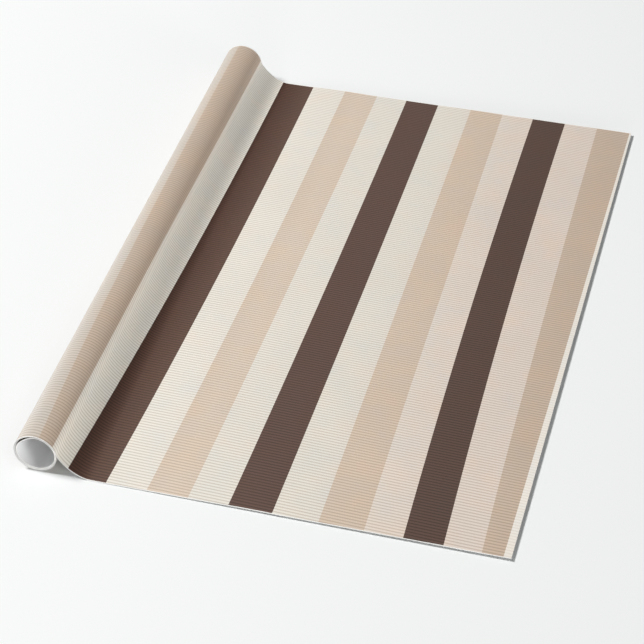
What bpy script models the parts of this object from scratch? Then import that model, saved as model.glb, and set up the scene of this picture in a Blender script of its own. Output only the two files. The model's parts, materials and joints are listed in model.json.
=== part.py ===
"""A roll of wrapping paper, partly unrolled, with a thin spiral-wound board tube inside it.

Metres, +Z up. The origin is the centre of the footprint, on the surface that the paper lies on.
The roll's axis runs along Y. The paper leaves the roll's right side, curves down to the surface
and lies flat towards +X, printed side up. Angles around the roll run from +X towards +Z, in degrees.
"""

import math

import bmesh
import bpy

COLLECTION = "wrapping_paper_roll"

# The paper
PAPER_WIDTH = 0.762
PAPER_THICKNESS = 0.0002
FREE_EDGE_REACH = 0.5035
SEAM_GAP = 0.0003

# The roll's outermost turn, which stays in place while the paper runs through it
FACET = 5.0
TURN_RADIUS = 0.0235
TURN_START = 10.0
TURN_END = 345.0
ROLL_LIFT = 0.0004

# The curve from the roll down to the flat paper, from the roll's axis
FOOT_REACH = 0.0585
LEAD_OFF_ANGLE = 8.5
ROLL_HANDLE = 0.0065
FOOT_HANDLE = 0.012
LEAD_OFF_STEPS = 18

# The turns that spin inside the outermost one
WOUND_OUTER_RADIUS = 0.0231
WOUND_INNER_RADIUS = 0.0221
WOUND_TURNS = 6.1
WOUND_THICKNESS = 0.00012
WOUND_START = -10.0
WOUND_FACET = 7.5

# The board tube: three plies, the inner and outer ones wound as helical strips
CORE_LENGTH = 0.760
CORE_FACETS = 32
CORE_OUTER_RADIUS = 0.0216
OUTER_PLY_THICKNESS = 0.0002
BOARD_THICKNESS = 0.0005
INNER_PLY_THICKNESS = 0.0002
PLY_GAP = 0.0001
PLY_PITCH = 0.0914
PLY_SEAM = 0.0004
CORE_DROP = 0.0002
CORE_DROP_ANGLE = -45.0

# Worked out from the sizes above
TURN_OUTER_RADIUS = TURN_RADIUS + PAPER_THICKNESS / 2
AXIS_X = (TURN_OUTER_RADIUS - FREE_EDGE_REACH) / 2
AXIS_Z = TURN_OUTER_RADIUS + ROLL_LIFT
OUTER_PLY_RADIUS = CORE_OUTER_RADIUS - OUTER_PLY_THICKNESS / 2
BOARD_OUTER_RADIUS = CORE_OUTER_RADIUS - OUTER_PLY_THICKNESS - PLY_GAP
BOARD_INNER_RADIUS = BOARD_OUTER_RADIUS - BOARD_THICKNESS
INNER_PLY_RADIUS = BOARD_INNER_RADIUS - PLY_GAP - INNER_PLY_THICKNESS / 2
CORE_X = AXIS_X + CORE_DROP * math.cos(math.radians(CORE_DROP_ANGLE))
CORE_Z = AXIS_Z + CORE_DROP * math.sin(math.radians(CORE_DROP_ANGLE))

# Merge distance for the tube's seam
MERGE = 0.00001


def clear_scene():
    for old in list(bpy.data.objects):
        bpy.data.objects.remove(old, do_unlink=True)


def material(name, color, roughness):
    made = bpy.data.materials.new(name)
    made.use_nodes = True
    shader = made.node_tree.nodes["Principled BSDF"]
    shader.inputs["Base Color"].default_value = (*color, 1.0)
    shader.inputs["Roughness"].default_value = roughness
    shader.inputs["Metallic"].default_value = 0.0
    made.diffuse_color = (*color, 1.0)
    return made


def body_axis(collection, name, x, z):
    """An empty on a body's axis. The body's pieces are its children."""
    empty = bpy.data.objects.new(name, None)
    empty.location = (x, 0.0, z)
    collection.objects.link(empty)
    return empty


def add_object(collection, name, mesh, paint, parent):
    mesh.materials.append(paint)
    made = bpy.data.objects.new(name, mesh)
    collection.objects.link(made)
    made.parent = parent
    return made


def smooth(mesh, sharp_degrees=40.0):
    mesh.shade_smooth()
    mesh.set_sharp_from_angle(angle=math.radians(sharp_degrees))


def around(radius, degrees):
    """A point on a circle round the parent's axis, as (x, z)."""
    angle = math.radians(degrees)
    return radius * math.cos(angle), radius * math.sin(angle)


def thicken(made, thickness):
    solidify = made.modifiers.new("paper_thickness", "SOLIDIFY")
    solidify.thickness = thickness
    solidify.offset = 0.0
    solidify.use_even_offset = True


def paper_strip(collection, name, profile, thickness, paint, parent):
    """A strip of paper across the roll's width, bent along a profile of (x, z) points."""
    shape = bmesh.new()
    near = [shape.verts.new((x, -PAPER_WIDTH / 2, z)) for x, z in profile]
    edges = [shape.edges.new(pair) for pair in zip(near, near[1:])]
    swept = bmesh.ops.extrude_edge_only(shape, edges=edges)["geom"]
    far = [part for part in swept if isinstance(part, bmesh.types.BMVert)]
    bmesh.ops.translate(shape, verts=far, vec=(0.0, PAPER_WIDTH, 0.0))
    bmesh.ops.recalc_face_normals(shape, faces=shape.faces)
    mesh = bpy.data.meshes.new(name)
    shape.to_mesh(mesh)
    shape.free()
    smooth(mesh)
    made = add_object(collection, name, mesh, paint, parent)
    thicken(made, thickness)
    return made


def turn_profile():
    steps = round((TURN_END - TURN_START) / FACET)
    step = (TURN_END - TURN_START) / steps
    return [around(TURN_RADIUS, TURN_START + step * i) for i in range(steps + 1)]


def lead_off_profile():
    """A cubic curve that leaves the roll along its tangent and meets the surface level."""
    start_x, start_z = around(TURN_RADIUS, LEAD_OFF_ANGLE)
    tangent_x, tangent_z = around(ROLL_HANDLE, LEAD_OFF_ANGLE - 90.0)
    foot_z = ROLL_LIFT + PAPER_THICKNESS / 2 - AXIS_Z
    handles = (
        (start_x, start_z),
        (start_x + tangent_x, start_z + tangent_z),
        (FOOT_REACH - FOOT_HANDLE, foot_z),
        (FOOT_REACH, foot_z),
    )
    points = []
    for i in range(LEAD_OFF_STEPS + 1):
        t = i / LEAD_OFF_STEPS
        weights = ((1 - t) ** 3, 3 * t * (1 - t) ** 2, 3 * t * t * (1 - t), t**3)
        points.append(tuple(sum(w * h[k] for w, h in zip(weights, handles)) for k in (0, 1)))
    return points


def wound_profile():
    """A spiral that starts outside and closes in evenly, turn by turn."""
    steps = round(WOUND_TURNS * 360.0 / WOUND_FACET)
    outer = WOUND_OUTER_RADIUS - WOUND_THICKNESS / 2
    inner = WOUND_INNER_RADIUS + WOUND_THICKNESS / 2
    points = []
    for i in range(steps + 1):
        radius = outer + (inner - outer) * i / steps
        points.append(around(radius, WOUND_START + WOUND_FACET * i))
    return points


def flat_sheet(collection, paint, parent):
    """The unrolled paper, from the foot of the curve to the free edge."""
    near_x = FOOT_REACH + SEAM_GAP
    length = FREE_EDGE_REACH - near_x
    middle = (near_x + length / 2, 0.0, PAPER_THICKNESS / 2 - AXIS_Z)
    shape = bmesh.new()
    bmesh.ops.create_cube(shape, size=1.0)
    bmesh.ops.scale(shape, verts=shape.verts, vec=(length, PAPER_WIDTH, PAPER_THICKNESS))
    bmesh.ops.translate(shape, verts=shape.verts, vec=middle)
    mesh = bpy.data.meshes.new("flat_sheet")
    shape.to_mesh(mesh)
    shape.free()
    return add_object(collection, "flat_sheet", mesh, paint, parent)


def helical_ply(collection, name, radius, thickness, seam_angle, paint, parent):
    """A strip wound edge to edge into a tube, and cut square at the tube's ends.

    Each section is a short line along the tube, at one angle. Its ends climb one pitch in a turn.
    """
    half = CORE_LENGTH / 2
    climb = PLY_PITCH / CORE_FACETS
    shape = bmesh.new()
    section = None
    step = 1
    while True:
        top = climb * step - PLY_SEAM / 2
        bottom = climb * step - PLY_PITCH + PLY_SEAM / 2
        if bottom > CORE_LENGTH - climb:
            break
        x, z = around(radius, seam_angle + 360.0 / CORE_FACETS * step)
        low = shape.verts.new((x, max(bottom, 0.0) - half, z))
        high = shape.verts.new((x, min(top, CORE_LENGTH) - half, z))
        if section:
            shape.faces.new((section[0], section[1], high, low))
        section = (low, high)
        step += 1
    bmesh.ops.recalc_face_normals(shape, faces=shape.faces)
    mesh = bpy.data.meshes.new(name)
    shape.to_mesh(mesh)
    shape.free()
    smooth(mesh)
    made = add_object(collection, name, mesh, paint, parent)
    thicken(made, thickness)
    return made


def core_board(collection, paint, parent):
    """The middle ply: a plain tube, a rectangle turned round the roll's direction."""
    half = CORE_LENGTH / 2
    outline = (
        (BOARD_OUTER_RADIUS, half),
        (BOARD_OUTER_RADIUS, -half),
        (BOARD_INNER_RADIUS, -half),
        (BOARD_INNER_RADIUS, half),
    )
    shape = bmesh.new()
    corners = [shape.verts.new((x, y, 0.0)) for x, y in outline]
    for i, corner in enumerate(corners):
        shape.edges.new((corner, corners[(i + 1) % len(corners)]))
    mesh = bpy.data.meshes.new("core_board_ply")
    shape.to_mesh(mesh)
    shape.free()
    made = add_object(collection, "core_board_ply", mesh, paint, parent)
    turned = made.modifiers.new("turned", "SCREW")
    turned.axis = "Y"
    turned.angle = math.tau
    turned.steps = CORE_FACETS
    turned.render_steps = CORE_FACETS
    turned.use_merge_vertices = True
    turned.merge_threshold = MERGE
    return made


def build():
    clear_scene()
    parts = bpy.data.collections.new(COLLECTION)
    bpy.context.scene.collection.children.link(parts)

    printed = material("printed_paper", (0.80, 0.73, 0.65), 0.6)
    back = material("paper_back", (0.85, 0.85, 0.85), 0.6)
    liner = material("white_liner", (0.86, 0.86, 0.86), 0.7)
    board = material("grey_board", (0.60, 0.58, 0.55), 0.85)

    stand = body_axis(parts, "stand_axis", AXIS_X, AXIS_Z)
    sheet = body_axis(parts, "sheet_axis", AXIS_X, AXIS_Z)
    roll = body_axis(parts, "roll_axis", AXIS_X, AXIS_Z)
    core = body_axis(parts, "core_axis", CORE_X, CORE_Z)

    paper_strip(parts, "outer_turn", turn_profile(), PAPER_THICKNESS, printed, stand)
    paper_strip(parts, "lead_off_curve", lead_off_profile(), PAPER_THICKNESS, printed, stand)
    flat_sheet(parts, printed, sheet)
    paper_strip(parts, "wound_turns", wound_profile(), WOUND_THICKNESS, back, roll)
    helical_ply(parts, "core_outer_ply", OUTER_PLY_RADIUS, OUTER_PLY_THICKNESS, 0.0, board, core)
    core_board(parts, board, core)
    helical_ply(parts, "core_inner_ply", INNER_PLY_RADIUS, INNER_PLY_THICKNESS, 180.0, liner, core)


build()
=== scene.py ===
"""Looks of the wrapping paper roll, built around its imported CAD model.

One sheet of printed paper comes off a roll, over a curve, and lies on a pale floor. The paper's path is
measured from its free edge: along the flat part, up the curve and round the roll. The print is placed
along that path, and it moves with the paper when the sheet is pulled. Angles round the roll run from
+X towards +Z.
"""

import json
import math

import bmesh
import bpy
import numpy as np
from mathutils import Matrix, Vector

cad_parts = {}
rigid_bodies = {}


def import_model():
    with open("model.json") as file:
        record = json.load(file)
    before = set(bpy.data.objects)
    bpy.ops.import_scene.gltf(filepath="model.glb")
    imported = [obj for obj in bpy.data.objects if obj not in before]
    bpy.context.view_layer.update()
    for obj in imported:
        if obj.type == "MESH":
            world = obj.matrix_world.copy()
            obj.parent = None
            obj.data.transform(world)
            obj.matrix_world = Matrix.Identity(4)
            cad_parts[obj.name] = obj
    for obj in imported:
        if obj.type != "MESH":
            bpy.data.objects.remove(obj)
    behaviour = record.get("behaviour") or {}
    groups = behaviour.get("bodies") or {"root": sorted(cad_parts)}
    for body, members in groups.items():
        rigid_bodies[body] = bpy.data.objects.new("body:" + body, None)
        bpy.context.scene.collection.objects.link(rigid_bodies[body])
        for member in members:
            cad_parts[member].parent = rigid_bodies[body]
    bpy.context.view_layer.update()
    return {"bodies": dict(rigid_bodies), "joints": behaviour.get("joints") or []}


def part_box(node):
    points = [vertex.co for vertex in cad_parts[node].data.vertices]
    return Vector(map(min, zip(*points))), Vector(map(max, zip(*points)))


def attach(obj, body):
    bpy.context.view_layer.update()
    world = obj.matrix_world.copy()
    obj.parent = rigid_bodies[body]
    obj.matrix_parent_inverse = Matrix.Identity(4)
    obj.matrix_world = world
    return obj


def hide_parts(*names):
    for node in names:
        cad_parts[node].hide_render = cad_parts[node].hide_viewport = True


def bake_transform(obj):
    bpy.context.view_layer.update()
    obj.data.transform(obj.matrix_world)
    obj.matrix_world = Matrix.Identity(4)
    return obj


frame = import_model()

MM = 0.001

# ---------------------------------------------------------------- places, from the frame

joints = {joint["name"]: joint for joint in frame["joints"]}
AXIS_X, _, AXIS_Z = joints["roll_spin"]["pos_m"]
TURN_LOW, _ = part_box("outer_turn")
FLAT_LOW, FLAT_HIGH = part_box("flat_sheet")
CORE_LOW, CORE_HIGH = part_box("core_outer_ply")

NEAR_Y = FLAT_LOW.y
FAR_Y = FLAT_HIGH.y
WIDTH = FAR_Y - NEAR_Y
FREE_X = FLAT_HIGH.x
FOOT_X = FLAT_LOW.x
ROLL_RADIUS = AXIS_X - TURN_LOW.x
CORE_X = (CORE_LOW.x + CORE_HIGH.x) / 2
CORE_Z = (CORE_LOW.z + CORE_HIGH.z) / 2

# ---------------------------------------------------------------- the paper's shape

PAPER = 0.22 * MM
FOOT_LIFT = 0.3 * MM
SHEET_LIFT = 1.6 * MM
SHEET_LIFT_RUN = 90.0 * MM
FREE_EDGE_LIFT = 2.0 * MM
LEAVE_ANGLE = math.radians(8.5)
TUCK_ANGLE = math.radians(290.0)
TURN_END = math.radians(349.0)
TUCK = 0.25 * MM
ROLL_HANDLE = 6.5 * MM
FOOT_HANDLE = 18.0 * MM
RIPPLE = 0.22 * MM
RIPPLE_RUN = 50.0 * MM
# Each wave of the flat part: radians a metre along it, radians across it, its start, and its share.
RIPPLES = ((21.0, 5.0, 0.6, 1.0), (38.0, -9.0, 2.1, 0.7))
FLAT_STEPS = 110
CURVE_STEPS = 36
TURN_STEPS = 130
ROWS = 100

WOUND_OUTER = 23.05 * MM
WOUND_INNER = 22.15 * MM
WOUND_PAPER = 0.12 * MM
WOUND_TURNS = 6.1
WOUND_START = math.radians(-10.0)
WOUND_STEPS_PER_TURN = 96
WOUND_ROWS = 6
TURN_STAGGER = 0.3 * MM
FAR_FROM_EDGE = 0.1

# ---------------------------------------------------------------- the board tube's shape

TUBE_RADIUS = 21.8 * MM
OUTER_PLY = 0.2 * MM
BOARD = 0.55 * MM
LINER = 0.2 * MM
PLY_GAP = 0.03 * MM
PLY_PITCH = 91.4 * MM
PLY_SEAM = 0.08 * MM
LINER_SEAM = math.radians(343.0)
TUBE_FACETS = 96
PLY_ROWS = 4
BOARD_ROWS = 9
DENT = 1.7 * MM
DENT_ANGLE = math.radians(128.0)
DENT_HALF_WIDTH = math.radians(46.0)

# ---------------------------------------------------------------- the print

# One repeat of the stripes, from the free edge towards the roll: dark, cream, tan, cream.
STRIPE = 40.85 * MM
REPEAT = 4 * STRIPE
FIRST_DARK = 84.0 * MM
MARGIN = 2.5 * MM

# The print is not quite square to the paper. Each row is a place along the paper, and how much further
# from the free edge it is printed at the far end, halfway, and at the near end, in millimetres.
PRINT_DRIFT = (
    (2.5, 0.0, 2.7, 6.0),
    (43.0, 0.0, -4.5, -13.0),
    (84.0, 0.0, -3.0, -14.5),
    (125.0, 0.0, -3.0, -13.7),
    (166.0, -2.0, -6.5, -13.7),
    (207.0, -2.0, -4.2, -6.8),
    (247.0, -0.5, -0.5, 1.2),
    (288.0, 0.0, 1.5, 7.0),
    (329.0, -2.5, 1.7, 9.7),
    (411.0, 0.0, 4.3, 17.0),
    (452.0, -0.7, 5.0, 19.8),
    (492.5, 1.2, 6.5, 9.4),
    (533.0, -2.3, -4.1, -14.4),
    (600.0, -2.3, -4.1, -14.4),
)

STATIONS = ("far", "middle", "near")

# In the shader, levels from 0 to 1 stand for distances: shifts over DRIFT_SPAN, places over PRINT_SPAN.
DRIFT_SPAN = 50 * MM
PRINT_SPAN = 600 * MM

# Ribs across the paper: their pitch at the far end, and how much coarser they get at the near end.
RIB_FAR = 3.5 * MM
RIB_GROWTH = 0.65 * MM
RIB_SLANT = 0.04


def srgb(red, green, blue):
    """A colour given on the usual 0 to 255 scale, as the linear values that shaders take."""
    def linear(value):
        share = value / 255.0
        return share / 12.92 if share <= 0.04045 else ((share + 0.055) / 1.055) ** 2.4
    return (linear(red), linear(green), linear(blue), 1.0)


def smoothstep(value, low, high):
    t = np.clip((value - low) / (high - low), 0.0, 1.0)
    return t * t * (3 - 2 * t)


# ---------------------------------------------------------------- shapes of the paper


def turn_radius(angle):
    """Middle of the outermost turn's paper. It tucks in towards the turns below at its end."""
    return ROLL_RADIUS - PAPER / 2 - TUCK * smoothstep(angle, TUCK_ANGLE, TURN_END)


def flat_height(x):
    """The flat part's middle: low at its foot, a little off the floor, and higher at the free edge."""
    along = np.clip((x - FOOT_X) / (FREE_X - FOOT_X), 0.0, 1.0)
    lift = FOOT_LIFT + (SHEET_LIFT - FOOT_LIFT) * smoothstep(x, FOOT_X, FOOT_X + SHEET_LIFT_RUN)
    return PAPER / 2 + lift + FREE_EDGE_LIFT * along**2


def paper_path():
    """Points (x, z) from the free edge to the end of the outermost turn, and their distances."""
    flat_x = np.linspace(FREE_X, FOOT_X, FLAT_STEPS + 1)
    flat = np.stack([flat_x, flat_height(flat_x)], axis=1)
    radius = turn_radius(LEAVE_ANGLE)
    start = np.array([
        AXIS_X + radius * math.cos(LEAVE_ANGLE),
        AXIS_Z + radius * math.sin(LEAVE_ANGLE),
    ])
    down = np.array([math.sin(LEAVE_ANGLE), -math.cos(LEAVE_ANGLE)])
    handles = np.array([
        flat[-1],
        flat[-1] - [FOOT_HANDLE, 0.0],
        start + down * ROLL_HANDLE,
        start,
    ])
    t = np.linspace(0.0, 1.0, CURVE_STEPS + 1)[1:, None]
    weights = np.hstack([(1 - t) ** 3, 3 * t * (1 - t) ** 2, 3 * t * t * (1 - t), t**3])
    angles = np.linspace(LEAVE_ANGLE, TURN_END, TURN_STEPS + 1)[1:]
    radii = turn_radius(angles)
    turn = np.stack([AXIS_X + radii * np.cos(angles), AXIS_Z + radii * np.sin(angles)], axis=1)
    points = np.concatenate([flat, weights @ handles, turn])
    steps = np.linalg.norm(np.diff(points, axis=0), axis=1)
    return points, np.concatenate([[0.0], np.cumsum(steps)])


def ripple(x, y):
    """Gentle unevenness of paper that was rolled up: long waves, strongest at the near and far edges."""
    across = (y - NEAR_Y) / WIDTH
    edges = 0.35 + 0.65 * (2 * across - 1) ** 2
    waves = sum(
        share * np.sin(along * x + slant * across + start) for along, slant, start, share in RIPPLES
    )
    return RIPPLE * waves * edges * smoothstep(x, FOOT_X, FOOT_X + RIPPLE_RUN)


def drift_weights(y):
    """How much of the far, middle and near drifts a row of the sheet takes."""
    share = (FAR_Y - y) / WIDTH
    return (1 - share) * (1 - 2 * share), 4 * share * (1 - share), share * (2 * share - 1)


def print_place(distance, y):
    """The print's own coordinate at a distance from the free edge, at rest."""
    places, *stations = np.array(PRINT_DRIFT).T * MM
    shift = 0.0
    for weight, drifts in zip(drift_weights(y), stations):
        shift = shift + weight * np.interp(distance, places + drifts, -drifts)
    return distance + shift


def rib_place(distance, y):
    """How many ribs there are up to this point, counted from the far end."""
    share = (FAR_Y - y + RIB_SLANT * distance) / WIDTH
    root = math.sqrt(RIB_GROWTH / RIB_FAR)
    return WIDTH / math.sqrt(RIB_FAR * RIB_GROWTH) * np.arctan(share * root)


def write_values(mesh, name, values):
    made = mesh.attributes.new(name, "FLOAT", "POINT")
    made.data.foreach_set("value", np.asarray(values, np.float32).ravel())


def grid_object(name, places, columns, rows, values):
    """An object from a grid of points, columns by rows, with a smooth surface and named point values."""
    index = np.arange(columns * rows).reshape(columns, rows)
    corners = [index[:-1, :-1], index[:-1, 1:], index[1:, 1:], index[1:, :-1]]
    faces = np.stack(corners, axis=-1).reshape(-1, 4)
    mesh = bpy.data.meshes.new(name)
    mesh.from_pydata(places.reshape(-1, 3).tolist(), [], faces.tolist())
    for key, value in values.items():
        write_values(mesh, key, value)
    return smooth_object(name, mesh)


def smooth_object(name, mesh):
    """An object with a smooth surface and crisp cut edges."""
    shape = bmesh.new()
    shape.from_mesh(mesh)
    for line in shape.edges:
        line.smooth = not line.is_boundary
    shape.to_mesh(mesh)
    shape.free()
    for face in mesh.polygons:
        face.use_smooth = True
    made = bpy.data.objects.new(name, mesh)
    bpy.context.scene.collection.objects.link(made)
    return made


def give_thickness(made, thickness, materials):
    """Solid paper or board. The materials are those of the outer face, the inner face and the cut edges."""
    for paint in materials:
        made.data.materials.append(paint)
    solidify = made.modifiers.new("thickness", "SOLIDIFY")
    solidify.thickness = thickness
    solidify.offset = 0.0
    solidify.material_offset = 1
    solidify.material_offset_rim = 2
    return made


def make_sheet(materials):
    """The printed sheet: flat part, curve and outermost turn, in one piece."""
    path, distances = paper_path()
    rows = np.linspace(NEAR_Y, FAR_Y, ROWS + 1)
    places = np.zeros((len(path), len(rows), 3))
    places[:, :, 0] = path[:, None, 0]
    places[:, :, 1] = rows[None, :]
    places[:, :, 2] = path[:, None, 1]
    flat = distances <= distances[FLAT_STEPS]
    places[flat, :, 2] += ripple(places[flat, :, 0], places[flat, :, 1])
    ribs = rib_place(distances[:, None], rows[None, :])
    edge = np.minimum(rows - NEAR_Y, FAR_Y - rows)
    values = {
        "print": print_place(distances[:, None], rows[None, :]),
        "distance_and_x": distances[:, None] + places[:, :, 0],
        "ribs": ribs,
        "from_edge": np.broadcast_to(edge[None, :], ribs.shape),
    }
    for name, weight in zip(STATIONS, drift_weights(rows)):
        values[name] = np.broadcast_to(weight[None, :], ribs.shape)
    made = grid_object("printed_sheet", places, len(path), len(rows), values)
    return give_thickness(made, PAPER, materials), distances[-1]


def make_winding(first_print, materials):
    """The turns inside the outermost one, each a little further in and not quite flush at the ends."""
    steps = round(WOUND_TURNS * WOUND_STEPS_PER_TURN)
    share = np.linspace(0.0, 1.0, steps + 1)
    angles = WOUND_START + share * WOUND_TURNS * math.tau
    radii = WOUND_OUTER - WOUND_PAPER / 2 - share * (WOUND_OUTER - WOUND_INNER - WOUND_PAPER)
    distances = np.concatenate([[0.0], np.cumsum(np.diff(angles) * radii[1:])])
    stagger = TURN_STAGGER * (np.sin(2.3 * angles) + np.sin(0.61 * angles + 1.0)) / 2
    across = np.linspace(0.0, 1.0, WOUND_ROWS + 1)
    places = np.zeros((steps + 1, WOUND_ROWS + 1, 3))
    places[:, :, 0] = (AXIS_X + radii * np.cos(angles))[:, None]
    places[:, :, 1] = NEAR_Y + TURN_STAGGER + stagger[:, None] + (WIDTH - 2 * TURN_STAGGER) * across
    places[:, :, 2] = (AXIS_Z + radii * np.sin(angles))[:, None]
    values = {
        "print": np.repeat((first_print + distances)[:, None], WOUND_ROWS + 1, axis=1),
        "ribs": rib_place((first_print + distances)[:, None], places[:, :, 1]),
        "from_edge": np.full((steps + 1, WOUND_ROWS + 1), FAR_FROM_EDGE),
    }
    made = grid_object("wound_paper", places, steps + 1, WOUND_ROWS + 1, values)
    return give_thickness(made, WOUND_PAPER, materials), distances[-1]


# ---------------------------------------------------------------- shapes of the board tube


def tube_radius(radius, angle):
    """The tube is round, but pushed in along its upper left side."""
    turned = (angle - DENT_ANGLE + math.pi) % math.tau - math.pi
    inside = np.clip(np.abs(turned) / DENT_HALF_WIDTH, 0.0, 1.0)
    return radius - DENT * np.cos(inside * math.pi / 2) ** 2


def tube_point(radius, angle, y):
    bent = tube_radius(radius, angle)
    return (CORE_X + bent * math.cos(angle), y, CORE_Z + bent * math.sin(angle))


def make_ply(name, radius, thickness, seam_angle, materials):
    """A strip of board wound edge to edge into a tube, and cut square at both ends."""
    low_y, high_y = CORE_LOW.y, CORE_HIGH.y
    climb = PLY_PITCH / TUBE_FACETS
    sections = []
    step = 1
    while climb * step - PLY_PITCH + PLY_SEAM / 2 < high_y - low_y - climb:
        bottom = climb * step - PLY_PITCH + PLY_SEAM / 2
        top = climb * step - PLY_SEAM / 2
        angle = seam_angle + math.tau / TUBE_FACETS * step
        ends = (max(low_y, low_y + bottom), min(high_y, low_y + top))
        sections.append([tube_point(radius, angle, y) for y in np.linspace(*ends, PLY_ROWS)])
        step += 1
    places = np.array(sections)
    made = grid_object(name, places, len(sections), PLY_ROWS, {})
    return give_thickness(made, thickness, materials)


def make_board(name, radius, thickness, materials):
    """The plain middle ply, closed on itself."""
    rows = np.linspace(CORE_LOW.y, CORE_HIGH.y, BOARD_ROWS)
    shape = bmesh.new()
    rings = []
    for y in rows:
        angles = [math.tau / TUBE_FACETS * i for i in range(TUBE_FACETS)]
        rings.append([shape.verts.new(tube_point(radius, angle, y)) for angle in angles])
    for low, high in zip(rings, rings[1:]):
        for i in range(TUBE_FACETS):
            j = (i + 1) % TUBE_FACETS
            shape.faces.new((low[i], high[i], high[j], low[j]))
    mesh = bpy.data.meshes.new(name)
    bmesh.ops.recalc_face_normals(shape, faces=shape.faces)
    shape.to_mesh(mesh)
    shape.free()
    return give_thickness(smooth_object(name, mesh), thickness, materials)


# ---------------------------------------------------------------- materials


class Paint:
    """A material, and short names for adding nodes to it."""

    def __init__(self, name):
        self.material = bpy.data.materials.new(name)
        self.material.use_nodes = True
        self.nodes = self.material.node_tree.nodes
        self.links = self.material.node_tree.links
        self.shader = self.nodes["Principled BSDF"]

    def node(self, kind, **settings):
        made = self.nodes.new("ShaderNode" + kind)
        for key, value in settings.items():
            setattr(made, key, value)
        return made

    def join(self, source, target):
        """Sets a socket to a number, a colour, or another socket's output."""
        if isinstance(source, bpy.types.NodeSocket):
            self.links.new(source, target)
        else:
            target.default_value = source

    def math(self, operation, first, second=0.0, third=0.0):
        made = self.node("Math", operation=operation)
        for socket, value in zip(made.inputs, (first, second, third)):
            self.join(value, socket)
        return made.outputs[0]

    def value(self, name):
        return self.node("Attribute", attribute_name=name).outputs["Fac"]

    def noise(self, scale, detail=3.0, roughness=0.55, stretch=(1.0, 1.0, 1.0)):
        place = self.node("TexCoord")
        mapping = self.node("Mapping")
        self.join(place.outputs["Object"], mapping.inputs["Vector"])
        mapping.inputs["Scale"].default_value = stretch
        made = self.node("TexNoise")
        self.join(mapping.outputs["Vector"], made.inputs["Vector"])
        made.inputs["Scale"].default_value = scale
        made.inputs["Detail"].default_value = detail
        made.inputs["Roughness"].default_value = roughness
        return made.outputs["Fac"]

    def spread(self, value, low, high):
        """A value from 0 to 1, spread from low to high."""
        made = self.node("MapRange")
        self.join(value, made.inputs["Value"])
        made.inputs["To Min"].default_value = low
        made.inputs["To Max"].default_value = high
        return made.outputs["Result"]

    def mix(self, factor, first, second, blend="MIX"):
        """Two colours mixed. Sockets 6 and 7 in, and 2 out, are the ones that carry colours."""
        made = self.node("Mix", data_type="RGBA", blend_type=blend)
        self.join(factor, made.inputs["Factor"])
        self.join(first, made.inputs[6])
        self.join(second, made.inputs[7])
        return made.outputs[2]

    def steps(self, value, stops):
        """A colour ramp with these (place, colour) stops."""
        made = self.node("ValToRGB")
        ramp = made.color_ramp
        ramp.elements[0].position = stops[0][0]
        ramp.elements[0].color = stops[0][1]
        ramp.elements.remove(ramp.elements[1])
        for place, color in stops[1:]:
            ramp.elements.new(place).color = color
        self.join(value, made.inputs["Fac"])
        return made.outputs["Color"]

    def bump(self, height, distance, strength, under=None):
        made = self.node("Bump")
        self.join(height, made.inputs["Height"])
        made.inputs["Distance"].default_value = distance
        made.inputs["Strength"].default_value = strength
        if under is not None:
            self.join(under, made.inputs["Normal"])
        return made.outputs["Normal"]

    def finish(self, color, roughness, normal, specular=0.4):
        self.join(color, self.shader.inputs["Base Color"])
        self.join(roughness, self.shader.inputs["Roughness"])
        self.join(normal, self.shader.inputs["Normal"])
        self.shader.inputs["Specular IOR Level"].default_value = specular
        return self.material


WHITE = srgb(240, 240, 239)
WHITE_CLOUD = srgb(228, 229, 230)
CUT_EDGE = srgb(244, 244, 243)
BARE = srgb(246, 244, 240)
MARGIN_COLOR = srgb(236, 231, 223)
# Kraft brown for the tube's outer face, kept this dark as painted shade. It shows through the gap under the
# outermost turn.
KRAFT_AND_PAINTED_SHADE_TONES = srgb(112, 98, 84), srgb(84, 70, 58)
BOARD_TONES = srgb(232, 231, 228), srgb(206, 203, 198)
LINER_TONES = srgb(244, 244, 244), srgb(230, 230, 230)
FLOOR_TONES = srgb(246, 248, 248), srgb(244, 246, 246)

# Each colour of the print, looked up by each point's place on the paper at rest: (place in millimetres,
# colour).
# All three get darker towards the free edge. The rest is painted light and shade. The cream is lighter on
# the curve off the roll as painted light, and darker on the roll as painted shade. Near the roll's upper
# left side it has a lighter, cooler painted sheen.
CREAM_WITH_PAINTED_LIGHT_AND_SHADE = (
    (60, srgb(225, 212, 201)),
    (145, srgb(227, 215, 204)),
    (227, srgb(230, 225, 215)),
    (390, srgb(235, 230, 221)),
    (440, srgb(237, 232, 222)),
    (458, srgb(248, 244, 234)),
    (482, srgb(244, 240, 230)),
    (494, srgb(238, 231, 221)),
    (504, srgb(207, 197, 186)),
    (534, srgb(207, 197, 186)),
    (545, srgb(202, 194, 185)),
    (556, srgb(206, 200, 193)),
)
# Tan: darker on the roll, as painted shade.
TAN_WITH_PAINTED_SHADE = (
    (20, srgb(202, 183, 165)),
    (186, srgb(215, 197, 179)),
    (349, srgb(222, 206, 189)),
    (490, srgb(201, 182, 164)),
    (530, srgb(199, 181, 164)),
)
# Dark: darker where it meets the curve off the roll, as painted shade for the roll's shadow.
DARK_WITH_PAINTED_SHADE = (
    (100, srgb(88, 71, 63)),
    (265, srgb(95, 76, 68)),
    (415, srgb(96, 75, 65)),
    (450, srgb(76, 53, 43)),
)
RIB_LINE = (0.68, 0.64, 0.60, 1.0)
RIB_TOP = (1.07, 1.07, 1.07, 1.0)
DARK_RIB_LINE = (0.50, 0.55, 0.52, 1.0)
DARK_RIB_TOP = (1.28, 1.20, 1.20, 1.0)
RIB_ON_MARGIN = 0.45
RIB_UNEVEN = 0.09
RIB_HEIGHT = 0.22 * MM
THREAD = 1.5 * MM
THREAD_SHARE = 0.10
BARE_EDGE = 1.2 * MM
BARE_EDGE_AT_RIB = 0.4 * MM
INK_WARM = (1.06, 1.0, 0.94, 1.0)
INK_COOL = (0.94, 1.0, 1.06, 1.0)


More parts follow.
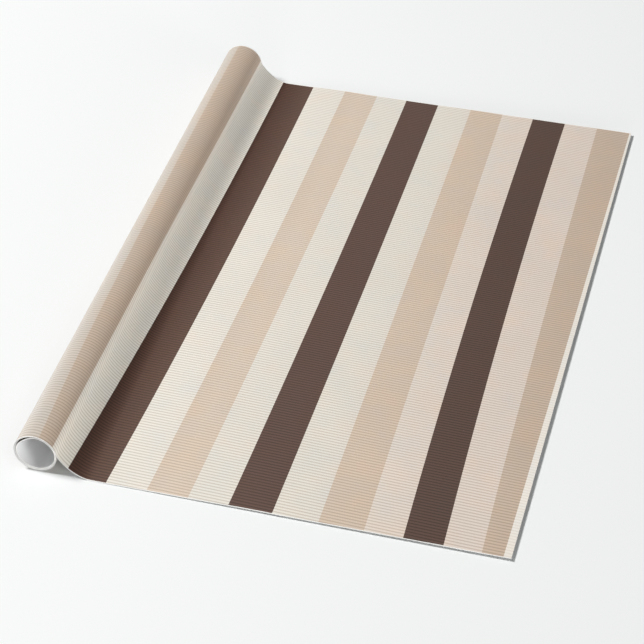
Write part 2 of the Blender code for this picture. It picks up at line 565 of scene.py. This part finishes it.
def drifted(paint, distance):
    """The print's own coordinate at a distance from the free edge, worked out in the shader."""
    share = paint.math("DIVIDE", distance, PRINT_SPAN)
    total = 0.0
    for station, name in enumerate(STATIONS, start=1):
        stops = []
        for row in PRINT_DRIFT:
            level = 0.5 - row[station] * MM / DRIFT_SPAN
            stops.append(((row[0] + row[station]) * MM / PRINT_SPAN, (level, level, level, 1.0)))
        total = paint.math("MULTIPLY_ADD", paint.steps(share, stops), paint.value(name), total)
    shift = paint.math("MULTIPLY", paint.math("SUBTRACT", total, 0.5), DRIFT_SPAN)
    return paint.math("ADD", distance, shift)


def stripes(paint, along):
    """Stripes and margin: their colour, which parts are dark, and which are margin."""
    repeats = paint.math("DIVIDE", paint.math("SUBTRACT", along, FIRST_DARK), REPEAT)
    stripe = paint.math("MULTIPLY", paint.math("FLOORED_MODULO", repeats, 1.0), 4.0)
    is_dark = paint.math("LESS_THAN", stripe, 1.0)
    is_tan = paint.math("COMPARE", stripe, 2.5, 0.5)
    in_margin = paint.math("LESS_THAN", along, MARGIN)
    # The colours, with their painted light and shade, follow each point's place at rest.
    span = paint.math("DIVIDE", paint.value("print"), PRINT_SPAN)
    cream, tan, dark = (
        paint.steps(span, [(place * MM / PRINT_SPAN, color) for place, color in stops])
        for stops in (CREAM_WITH_PAINTED_LIGHT_AND_SHADE, TAN_WITH_PAINTED_SHADE, DARK_WITH_PAINTED_SHADE)
    )
    color = paint.mix(is_tan, cream, tan)
    color = paint.mix(is_dark, color, dark)
    return paint.mix(in_margin, color, MARGIN_COLOR), is_dark, in_margin


def rib_wave(paint, fibres):
    """The ribs' count, a little uneven, and a wave that is 1 on each rib and 0 between ribs."""
    ribs = paint.math("ADD", paint.value("ribs"), paint.spread(fibres, -RIB_UNEVEN, RIB_UNEVEN))
    rib = paint.math("FLOORED_MODULO", ribs, 1.0)
    return ribs, paint.math("SINE", paint.math("MULTIPLY", rib, math.pi))


def rib_shade(paint, along, ribs, wave, is_dark, in_margin):
    """A thin dark line between broad light ribs, with fine threads across."""
    row = paint.math("MULTIPLY", paint.math("FLOOR", ribs), math.pi)
    thread = paint.math("SINE", paint.math("MULTIPLY_ADD", along, math.tau / THREAD, row))
    top = paint.math("MULTIPLY_ADD", thread, THREAD_SHARE, paint.math("POWER", wave, 0.8))
    depth = paint.spread(in_margin, 1.0, RIB_ON_MARGIN)
    line = paint.mix(is_dark, paint.mix(depth, RIB_TOP, RIB_LINE), DARK_RIB_LINE)
    crest = paint.mix(is_dark, RIB_TOP, DARK_RIB_TOP)
    return paint.mix(top, line, crest)


def ink_shade(paint, color):
    """Soft unevenness of the ink, in brightness and in warmth."""
    cloud = paint.spread(paint.noise(9.0, 4.0), 0.95, 1.05)
    color = paint.mix(1.0, color, cloud, "MULTIPLY")
    warmth = paint.mix(paint.noise(26.0, 3.0), INK_WARM, INK_COOL)
    return paint.mix(1.0, color, warmth, "MULTIPLY")


def printed_paper(name, moves):
    """Striped print with ribs. Where moves is set, the print goes with the paper as the sheet is pulled."""
    paint = Paint(name)
    if moves:
        place = paint.node("TexCoord", object=frame["bodies"]["sheet"])
        split = paint.node("SeparateXYZ")
        paint.join(place.outputs["Object"], split.inputs[0])
        distance = paint.math("SUBTRACT", paint.value("distance_and_x"), split.outputs["X"])
        along = drifted(paint, distance)
    else:
        along = paint.value("print")
    color, is_dark, in_margin = stripes(paint, along)
    fibres = paint.noise(900.0, 2.0, 0.6, (1.0, 6.0, 1.0))
    ribs, wave = rib_wave(paint, fibres)
    shade = rib_shade(paint, along, ribs, wave, is_dark, in_margin)
    color = ink_shade(paint, paint.mix(1.0, color, shade, "MULTIPLY"))

    # The print stops short of the cut edge, and a little less short on each rib
    stop = paint.math("MULTIPLY_ADD", wave, -BARE_EDGE_AT_RIB, BARE_EDGE)
    bare = paint.math("LESS_THAN", paint.value("from_edge"), stop)
    color = paint.mix(bare, color, BARE)

    height = paint.math("MULTIPLY_ADD", fibres, 0.12, wave)
    normal = paint.bump(height, RIB_HEIGHT, 0.5)
    roughness = paint.spread(paint.noise(120.0, 3.0), 0.46, 0.60)
    return paint.finish(color, roughness, normal, 0.35)


def white_paper(name, tone):
    """The unprinted back, and cut edges."""
    paint = Paint(name)
    fibres = paint.noise(700.0, 4.0, 0.6, (1.0, 0.35, 1.0))
    cloud = paint.noise(25.0, 3.0)
    color = paint.mix(paint.spread(cloud, 0.0, 0.5), tone, WHITE_CLOUD)
    normal = paint.bump(fibres, 0.05 * MM, 0.4)
    return paint.finish(color, paint.spread(fibres, 0.55, 0.70), normal, 0.3)


def board_paper(name, tone, speck):
    """Paperboard: dull, with short fibres and darker specks."""
    paint = Paint(name)
    fibres = paint.noise(420.0, 5.0, 0.65, (1.0, 0.5, 1.0))
    specks = paint.math("POWER", paint.noise(1500.0, 1.0), 6.0)
    color = paint.mix(paint.spread(fibres, 0.0, 0.35), tone, speck)
    color = paint.mix(paint.math("MULTIPLY", specks, 4.0), color, speck)
    normal = paint.bump(fibres, 0.08 * MM, 0.5)
    return paint.finish(color, paint.spread(fibres, 0.75, 0.92), normal, 0.2)


def floor_paint():
    """Plain, pale and dull."""
    paint = Paint("floor")
    cloud = paint.noise(1.2, 2.0)
    color = paint.mix(cloud, *FLOOR_TONES)
    normal = paint.bump(cloud, 0.01 * MM, 0.1)
    return paint.finish(color, 0.75, normal, 0.1)


# ---------------------------------------------------------------- stage: floor, light and camera


FLOOR_SIZE = 30.0
FLOOR_DROP = 0.2 * MM


def make_floor():
    bpy.ops.mesh.primitive_plane_add(size=FLOOR_SIZE, location=(0.0, 0.0, -FLOOR_DROP))
    floor = bpy.context.object
    floor.name = "floor"
    floor.data.materials.append(floor_paint())


SKY_STRENGTH = 0.19

LIGHT_DISTANCE = 8.0

# Each light: its name, its bearing from +X and its height in degrees, its width and height in metres, how
# bright it makes a white surface that faces it, and its colour.
LIGHTS = (
    ("key", 184.0, 50.0, 2.0, 2.0, 0.99, (1.0, 0.995, 0.985)),
    ("front", -80.0, 4.0, 3.4, 1.0, 0.36, (1.0, 1.0, 1.0)),
    ("side", -30.0, 4.0, 3.4, 1.0, 0.42, (1.0, 1.0, 1.0)),
)


def area_light(name, place, width, height, power, color):
    """A soft oval light that faces the object."""
    data = bpy.data.lights.new(name, "AREA")
    data.shape = "ELLIPSE"
    data.size = width
    data.size_y = height
    data.energy = power
    data.color = color
    made = bpy.data.objects.new(name, data)
    made.location = place
    made.rotation_mode = "QUATERNION"
    made.rotation_quaternion = (-Vector(place)).to_track_quat("-Z", "Y")
    bpy.context.scene.collection.objects.link(made)


def make_light():
    scene = bpy.context.scene
    world = bpy.data.worlds.new("studio")
    scene.world = world
    world.use_nodes = True
    sky = world.node_tree.nodes["Background"]
    sky.inputs["Color"].default_value = (1.0, 1.0, 1.0, 1.0)
    sky.inputs["Strength"].default_value = SKY_STRENGTH
    for name, bearing, elevation, width, height, strength, color in LIGHTS:
        level = LIGHT_DISTANCE * math.cos(math.radians(elevation))
        place = (
            level * math.cos(math.radians(bearing)),
            level * math.sin(math.radians(bearing)),
            LIGHT_DISTANCE * math.sin(math.radians(elevation)),
        )
        power = strength * (math.pi * LIGHT_DISTANCE) ** 2
        area_light(name, place, width, height, power, color)
    scene.view_settings.view_transform = "Standard"


# The camera looks down by PITCH, turned by AZIMUTH from +Y towards -X. Its place is given from the roll's
# near end, at floor level, in metres.
PITCH = math.radians(39.8747)
AZIMUTH = math.radians(14.9331)
ROLL = math.radians(0.1058)
CAMERA_FROM_ROLL_END = (0.72857, -1.57865, 1.63368)
LENS = 126.62


def make_camera():
    scene = bpy.context.scene
    data = bpy.data.cameras.new("camera")
    data.lens = LENS
    data.sensor_width = 36.0
    camera = bpy.data.objects.new("camera", data)
    level = Vector((-math.sin(AZIMUTH), math.cos(AZIMUTH), 0.0))
    forward = level * math.cos(PITCH) + Vector((0.0, 0.0, -math.sin(PITCH)))
    right = Vector((math.cos(AZIMUTH), math.sin(AZIMUTH), 0.0))
    up = right.cross(forward)
    tilted_right = right * math.cos(ROLL) + up * math.sin(ROLL)
    tilted_up = up * math.cos(ROLL) - right * math.sin(ROLL)
    turn = Matrix((tilted_right, tilted_up, -forward)).transposed()
    place = Vector(CAMERA_FROM_ROLL_END) + Vector((AXIS_X, NEAR_Y, 0.0))
    camera.matrix_world = Matrix.Translation(place) @ turn.to_4x4()
    scene.collection.objects.link(camera)
    scene.camera = camera


# ---------------------------------------------------------------- the object


def build():
    make_camera()
    printed = printed_paper("printed_face", True)
    printed_wound = printed_paper("printed_wound_face", False)
    back = white_paper("paper_back", WHITE)
    edge = white_paper("paper_edge", CUT_EDGE)
    kraft_and_painted_shade = board_paper("core_kraft_and_painted_shade", *KRAFT_AND_PAINTED_SHADE_TONES)
    board = board_paper("core_board", *BOARD_TONES)
    liner = board_paper("core_liner", *LINER_TONES)

    sheet, visible_length = make_sheet((printed, back, edge))
    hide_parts("flat_sheet", "lead_off_curve", "outer_turn")
    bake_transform(sheet)

    winding, wound_length = make_winding(visible_length, (printed_wound, back, edge))
    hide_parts("wound_turns")
    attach(winding, "roll")

    radius = TUBE_RADIUS - OUTER_PLY / 2
    # The outer face is dark kraft, partly painted shade for the gap under the outermost turn.
    outer = make_ply("tube_outer_ply", radius, OUTER_PLY, 0.0, (kraft_and_painted_shade, board, board))
    radius -= OUTER_PLY / 2 + PLY_GAP + BOARD / 2
    middle = make_board("tube_board", radius, BOARD, (board, board, board))
    radius -= BOARD / 2 + PLY_GAP + LINER / 2
    inner = make_ply("tube_liner", radius, LINER, LINER_SEAM, (liner, liner, edge))
    for piece, node, slot in (
        (outer, "core_outer_ply", "core_board"),
        (middle, "core_board_ply", "core_board"),
        (inner, "core_inner_ply", "core_liner"),
    ):
        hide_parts(node)
        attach(piece, "core")

    make_floor()
    make_light()


build()
